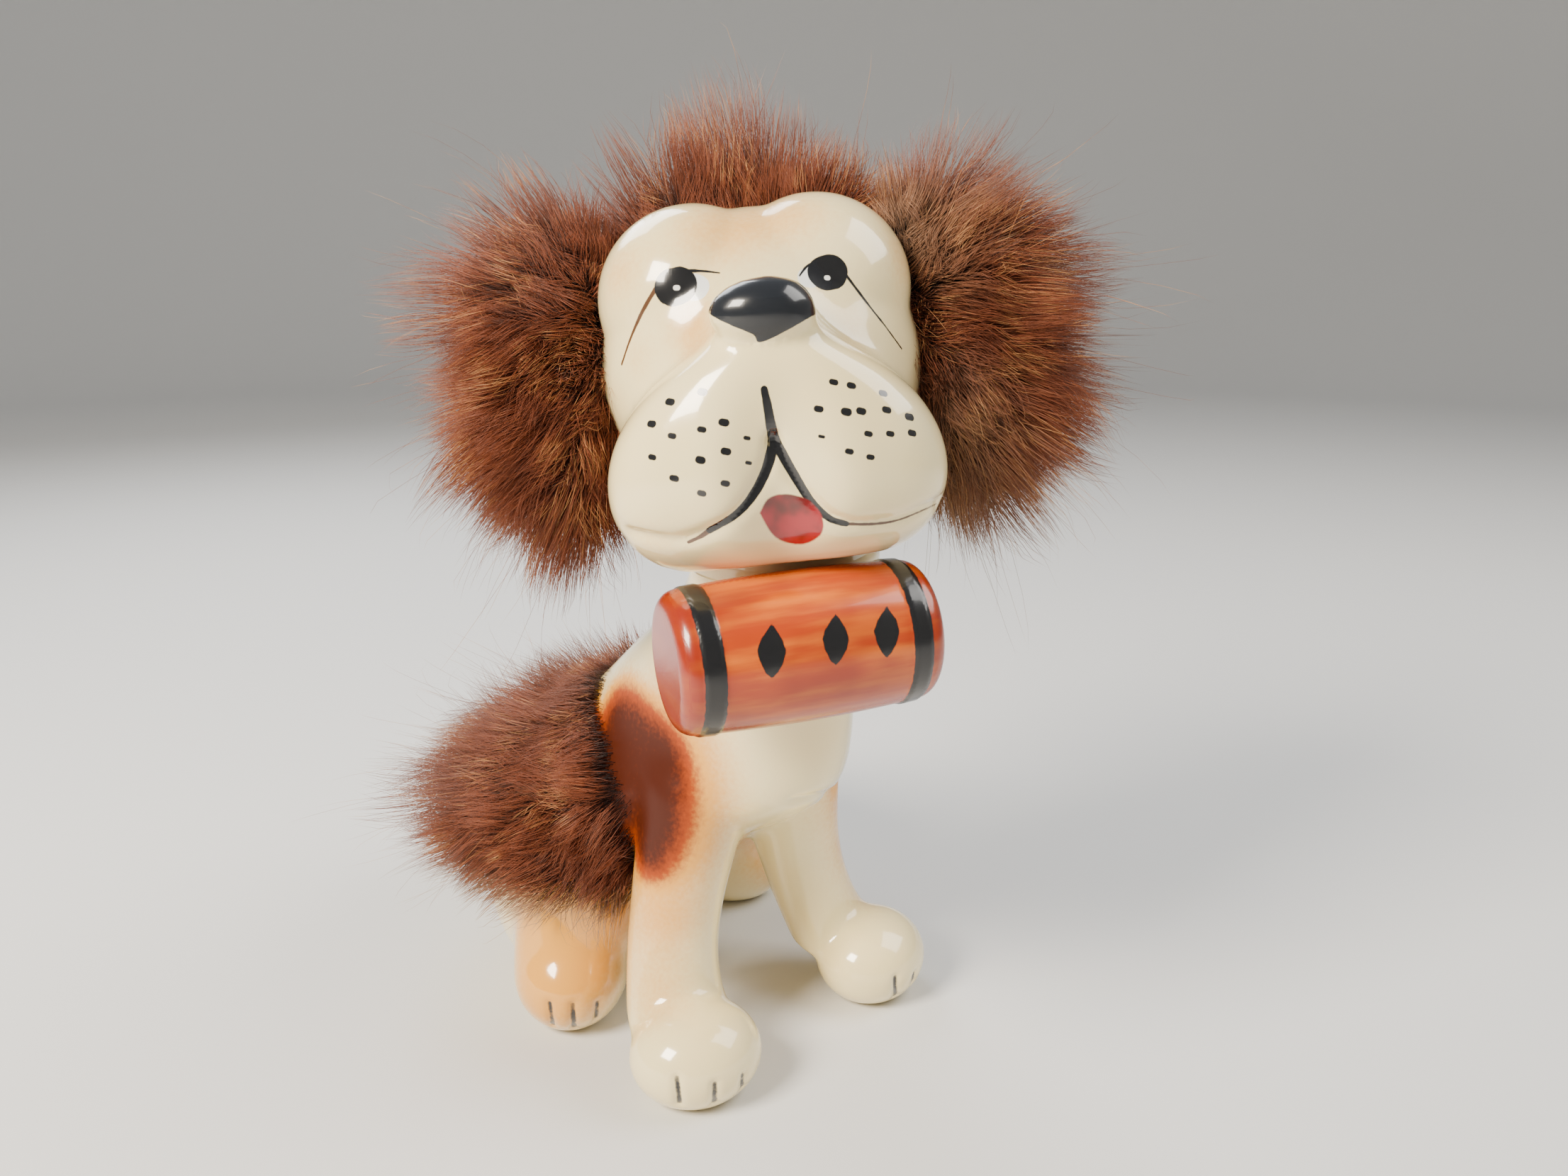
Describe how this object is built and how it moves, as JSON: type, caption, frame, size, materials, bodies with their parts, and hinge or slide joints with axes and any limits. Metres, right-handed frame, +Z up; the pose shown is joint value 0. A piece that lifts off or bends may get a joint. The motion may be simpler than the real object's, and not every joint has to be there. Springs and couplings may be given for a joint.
{
  "type": "sitting dog figure with fur trim",
  "caption": "Glazed ceramic figure of a sitting dog with a small keg under its chin, and glued-on real fur for its ears, topknot and saddle.",
  "frame": {"origin": "on the surface that the feet stand on, under the middle of the whole figure with its fur", "axes": "+Z up, +X to the dog's own left, -Y the way its chest faces; the head is turned to the dog's right"},
  "size_m": [0.0784, 0.1118, 0.1409],
  "materials": {
    "glazed_body": "cream glaze with airbrushed and painted detail, high gloss",
    "glazed_keg": "orange brushed glaze with black hoops, high gloss",
    "slip": "glazed over with the castings",
    "glue": "dried clear glue, slightly yellow",
    "hide": "thin tanned skin, raw edge",
    "fur": "soft dyed pile, reddish brown"
  },
  "bodies": {
    "root": {"torso_casting": "glazed_body", "head_casting": "glazed_body", "keg_casting": "glazed_keg", "neck_slip_joint": "slip", "keg_slip_joint": "slip", "left_ear_glue": "glue", "left_ear_hide": "hide", "left_ear_fur": "fur", "right_ear_glue": "glue", "right_ear_hide": "hide", "right_ear_fur": "fur", "topknot_glue": "glue", "topknot_hide": "hide", "topknot_fur": "fur", "saddle_glue": "glue", "saddle_hide": "hide", "saddle_fur": "fur"}
  },
  "joints": []
}
